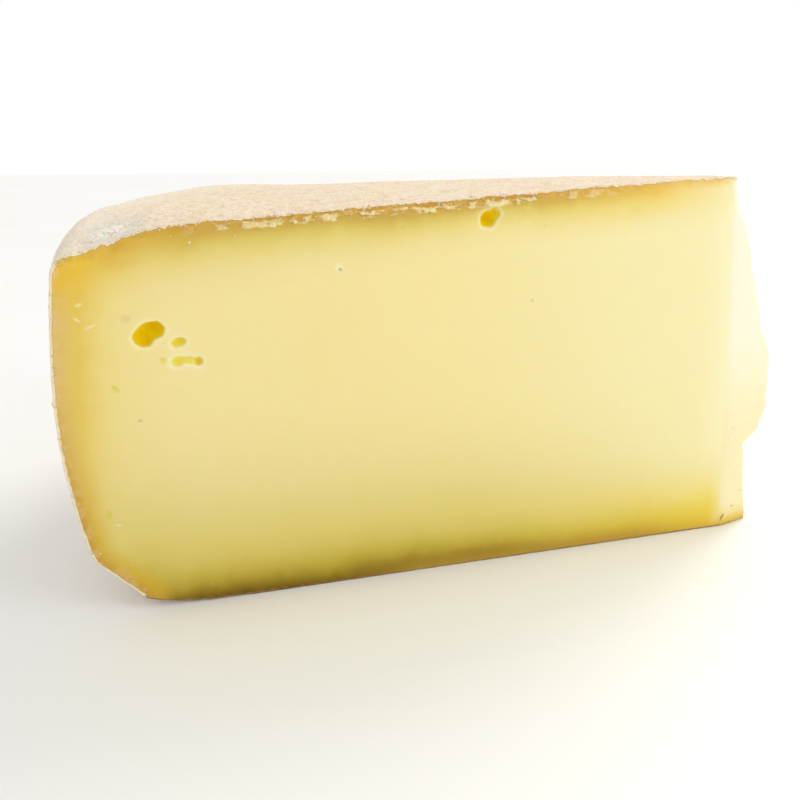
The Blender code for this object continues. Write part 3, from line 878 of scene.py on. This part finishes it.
def crumb_tree():
    """Scatter small uneven crumbs where a cut meets the rind, thinning out away from the edge."""
    labels = ("Density", "Along Top", "Along Rim", "Reach", "On Cut", "Smallest", "Largest", "Flatness")
    inputs = [(label, "Float") for label in labels] + [("Seed", "Int"), ("Material", "Material")]
    tree = geometry_tree("crumbs", inputs)
    given = add(tree, "NodeGroupInput").outputs
    depth = {
        side: add(tree, "GeometryNodeInputNamedAttribute", {"Name": side + "_depth"}, data_type="FLOAT")
        for side in SIDES
    }
    place = add(tree, "GeometryNodeInputPosition")
    outside = add(tree, "ShaderNodeMath", (depth["top"], depth["rim"]), operation="MINIMUM")
    by_top = product(tree, fade(tree, depth["top"], given["Reach"]), given["Along Top"])
    by_rim = product(tree, fade(tree, depth["rim"], given["Reach"]), given["Along Rim"])
    by_rind = add(tree, "ShaderNodeMath", (by_top, by_rim), operation="ADD")
    hidden = add(tree, "ShaderNodeMapRange", (outside, 0.6 * MM, 1.0 * MM))
    on_back = product(tree, fade(tree, depth["back"], 0.9 * MM), hidden)
    on_cut = add(tree, "ShaderNodeMath", (fade(tree, depth["front"], 0.9 * MM), on_back), operation="MAXIMUM")
    inside = add(tree, "ShaderNodeMapRange", (outside, 0.1 * MM, 0.5 * MM))
    keep = add(tree, "ShaderNodeMix", {0: given["On Cut"], 2: 1.0, 3: inside})
    above = add(tree, "ShaderNodeMapRange", (depth["base"], 1.5 * MM, 3.0 * MM))
    fewer = add(tree, "ShaderNodeMapRange", (depth["broken"], 0.030, 0.060, 0.08, 1.0))
    patches = add(tree, "ShaderNodeMapRange", (patchy(tree, place), 0.42, 0.62, 0.12, 1.0))
    density = product(tree, by_rind, on_cut, keep, given["Density"], above, fewer, patches)
    points = add(
        tree, "GeometryNodeDistributePointsOnFaces",
        {"Mesh": given["Geometry"], "Density": density, "Seed": given["Seed"]},
    )
    draw = add(tree, "FunctionNodeRandomValue", {"Seed": 5}, data_type="FLOAT")
    draw = add(tree, "ShaderNodeMath", (draw, 2.2), operation="POWER")
    size = add(tree, "ShaderNodeMapRange", {0: draw, 3: given["Smallest"], 4: given["Largest"]})
    shade = add(tree, "FunctionNodeRandomValue", {"Seed": 3}, data_type="FLOAT")
    marked = points.outputs["Points"]
    for label, value in (("shade", shade), ("size", size)):
        marked = add(
            tree, "GeometryNodeStoreNamedAttribute", {"Geometry": marked, "Name": label, "Value": value}
        )
    size = add(tree, "GeometryNodeInputNamedAttribute", {"Name": "size"}, data_type="FLOAT")
    ball = add(tree, "GeometryNodeMeshIcoSphere", {"Radius": 1.0, "Subdivisions": 2}).outputs["Mesh"]
    uneven = add(
        tree, "FunctionNodeRandomValue", {0: (0.6, 0.6, 0.6), 1: (1.5, 1.1, 0.9), "Seed": 9},
        data_type="FLOAT_VECTOR",
    )
    flat = add(tree, "ShaderNodeCombineXYZ", (1.0, 1.0, given["Flatness"]))
    uneven = add(tree, "ShaderNodeVectorMath", (uneven, flat), operation="MULTIPLY")
    scale = add(tree, "ShaderNodeVectorMath", {0: uneven, 3: size}, operation="SCALE")
    turned = add(
        tree, "FunctionNodeRandomValue", {0: (-0.6, -0.6, -3.1), 1: (0.6, 0.6, 3.1), "Seed": 2},
        data_type="FLOAT_VECTOR",
    )
    turned = add(tree, "FunctionNodeEulerToRotation", (turned,))
    lying = add(
        tree, "FunctionNodeRotateRotation", (points.outputs["Rotation"], turned), rotation_space="LOCAL"
    )
    crumbs = add(
        tree, "GeometryNodeInstanceOnPoints",
        {"Points": marked, "Instance": ball, "Rotation": lying, "Scale": scale},
    )
    real = add(tree, "GeometryNodeRealizeInstances", {"Geometry": crumbs})
    shrunk = add(tree, "ShaderNodeMath", (1.1, size), operation="DIVIDE")
    spot = add(tree, "ShaderNodeVectorMath", {0: place, 3: shrunk}, operation="SCALE")
    lumps = add(tree, "ShaderNodeTexNoise", {"Vector": spot, "Scale": 1.0, "Detail": 2.0}).outputs["Color"]
    lumps = add(tree, "ShaderNodeVectorMath", (lumps, (0.5, 0.5, 0.5)), operation="SUBTRACT")
    lumps = add(tree, "ShaderNodeVectorMath", {0: lumps, 3: product(tree, size, 2.2)}, operation="SCALE")
    lumpy = add(tree, "GeometryNodeSetPosition", {"Geometry": real, "Offset": lumps})
    smooth = add(tree, "GeometryNodeSetShadeSmooth", {"Geometry": lumpy})
    finish_tree(tree, smooth, given["Material"])
    return tree


# ---- operators --------------------------------------------------------------------------------------

KEY_PLACE = (0.62, 0.42, 0.55)
FILL_PLACE = (0.38, -0.44, 0.30)
LIT_SPOT = Vector((0.03, -0.02, 0.05))    # what both lights aim at
CAMERA_PLACE = (TIP_FOOT_X - 0.17003, LOW.y - 0.20093, 0.11094)
CAMERA_DIP = atan(259 / 870)              # how far the camera looks down
CAMERA_TURN = -radians(17.18)             # how far it is turned to the right of straight on


def hand_over(piece):
    """Tie a finished piece to the frame."""
    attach(piece, "root")


class CHEESE_OT_wedge(Operator):
    """Make the wedge from its solid, with rind, eyes, torn edge and broken tip"""
    bl_idname = "cheese.wedge"
    bl_label = "Make the wedge"

    def execute(self, context):
        settings = context.scene.cheese
        wedge = solid_copy()
        cut_eyes(wedge)
        guides = side_guides(wedge)
        rebuild_surface(wedge, settings.voxel)
        values = dict(guides)
        values.update({
            "Rind Height": settings.rind_height, "Rind Grain": settings.rind_grain,
            "Tear Height": settings.tear_height, "Crack Depth": settings.crack_depth,
            "Flake Height": settings.flake_height, "Break Height": settings.break_height,
            "Paste Height": settings.paste_height, "Seed": float(settings.seed),
            "Material": cheese_material(settings),
        })
        run_tree(wedge, relief_tree(), values)
        for guide in guides.values():
            remove_piece(guide)
        thin_out(wedge, settings.triangles)
        wedge.data.shade_smooth()
        if not wedge.data.polygons:
            raise RuntimeError("the wedge came out empty")
        hand_over(wedge)
        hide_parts(NODE)
        return {"FINISHED"}


class CHEESE_OT_crumbs(Operator):
    """Scatter crumbs of rind and of paste along the cut edges"""
    bl_idname = "cheese.crumbs"
    bl_label = "Scatter the crumbs"

    def execute(self, context):
        settings = context.scene.cheese_crumbs
        wedge = bpy.data.objects["wedge"]
        tree = crumb_tree()
        kinds = (
            ("rind_crumbs", ("dry rind crumbs", "#DDB878", "#FAEBCB"), {
                "Density": settings.rind_density, "Along Top": 1.0, "Along Rim": 0.5, "Reach": 1.6 * MM,
                "Smallest": settings.smallest, "Largest": settings.largest, "Flatness": 0.7,
            }),
            ("rind_flakes", ("torn rind flakes", "#E4C070", "#FAEDC2"), {
                "Density": settings.flake_density, "Along Top": 1.0, "Along Rim": 0.15, "Reach": 2.2 * MM,
                "Smallest": 1.5 * settings.smallest, "Largest": settings.largest_flake, "Flatness": 0.35,
            }),
            ("paste_crumbs", ("paste crumbs", "#ECD684", "#F8EDB8"), {
                "Density": settings.paste_density, "Along Top": 0.4, "Along Rim": 1.0, "Reach": 16.0 * MM,
                "On Cut": 1.0, "Smallest": settings.smallest, "Largest": settings.largest, "Flatness": 0.6,
            }),
        )
        for name, looks, values in kinds:
            piece = bpy.data.objects.new(name, wedge.data.copy())
            context.scene.collection.objects.link(piece)
            values.update({"Seed": settings.seed, "Material": crumb_material(*looks)})
            run_tree(piece, tree, values)
            if not piece.data.polygons:
                raise RuntimeError(name + " came out empty")
            hand_over(piece)
        return {"FINISHED"}


class CHEESE_OT_stage(Operator):
    """Set up the pale floor, the soft lights and the camera"""
    bl_idname = "cheese.stage"
    bl_label = "Set up the stage"

    def execute(self, context):
        settings = context.scene.cheese_stage
        scene = context.scene
        bm = bmesh.new()
        bmesh.ops.create_grid(bm, x_segments=1, y_segments=1, size=settings.floor / 2)
        floor = new_piece("floor", bm)
        floor.data.materials.append(floor_material())

        world = bpy.data.worlds.new("white surroundings")
        world.use_nodes = True
        tree = world.node_tree
        tree.nodes.clear()
        white = linear("#FFFFFF")
        lighting = add(tree, "ShaderNodeBackground", {"Color": white, "Strength": settings.surround})
        backdrop = add(tree, "ShaderNodeBackground", {"Color": white, "Strength": 1.0})
        seen = add(tree, "ShaderNodeLightPath").outputs["Is Camera Ray"]
        both = add(tree, "ShaderNodeMixShader", (seen, lighting, backdrop))
        add(tree, "ShaderNodeOutputWorld", {"Surface": both})
        scene.world = world

        key = bpy.data.lights.new("key", "SUN")
        key.energy = settings.key_strength
        key.angle = radians(28.0)
        key.color = linear("#FFF8EC")[:3]
        fill = bpy.data.lights.new("fill", "AREA")
        fill.energy = settings.fill_power
        fill.size = 0.35
        for data, spot in ((key, KEY_PLACE), (fill, FILL_PLACE)):
            light = bpy.data.objects.new(data.name, data)
            light.location = spot
            aim = LIT_SPOT - light.location
            light.rotation_euler = aim.to_track_quat("-Z", "Y").to_euler()
            scene.collection.objects.link(light)

        data = bpy.data.cameras.new("camera")
        data.lens = settings.focal
        data.sensor_width = 36.0
        data.clip_start = 0.01
        camera = bpy.data.objects.new("camera", data)
        camera.location = CAMERA_PLACE
        camera.rotation_euler = Euler((radians(90.0) - CAMERA_DIP, 0.0, CAMERA_TURN))
        scene.collection.objects.link(camera)
        scene.camera = camera
        scene.view_settings.view_transform = "Standard"
        return {"FINISHED"}


class CHEESE_PT_panel(Panel):
    """The wedge's tools and sizes"""
    bl_label = "Mountain cheese wedge"
    bl_idname = "CHEESE_PT_panel"
    bl_space_type = "VIEW_3D"
    bl_region_type = "UI"
    bl_category = "Cheese"

    def draw(self, context):
        layout = self.layout
        for operator, settings in (
            (CHEESE_OT_wedge, context.scene.cheese),
            (CHEESE_OT_crumbs, context.scene.cheese_crumbs),
            (CHEESE_OT_stage, context.scene.cheese_stage),
        ):
            box = layout.box()
            for name in settings.__annotations__:
                box.prop(settings, name)
            box.operator(operator.bl_idname)


CLASSES = (
    CheeseSettings, CrumbSettings, StageSettings,
    CHEESE_OT_wedge, CHEESE_OT_crumbs, CHEESE_OT_stage, CHEESE_PT_panel,
)


def register():
    for cls in CLASSES:
        bpy.utils.register_class(cls)
    bpy.types.Scene.cheese = PointerProperty(type=CheeseSettings)
    bpy.types.Scene.cheese_crumbs = PointerProperty(type=CrumbSettings)
    bpy.types.Scene.cheese_stage = PointerProperty(type=StageSettings)


def unregister():
    del bpy.types.Scene.cheese_stage
    del bpy.types.Scene.cheese_crumbs
    del bpy.types.Scene.cheese
    for cls in reversed(CLASSES):
        bpy.utils.unregister_class(cls)


def main():
    register()
    bpy.ops.cheese.wedge()
    bpy.ops.cheese.crumbs()
    bpy.ops.cheese.stage()


if __name__ == "__main__":
    main()
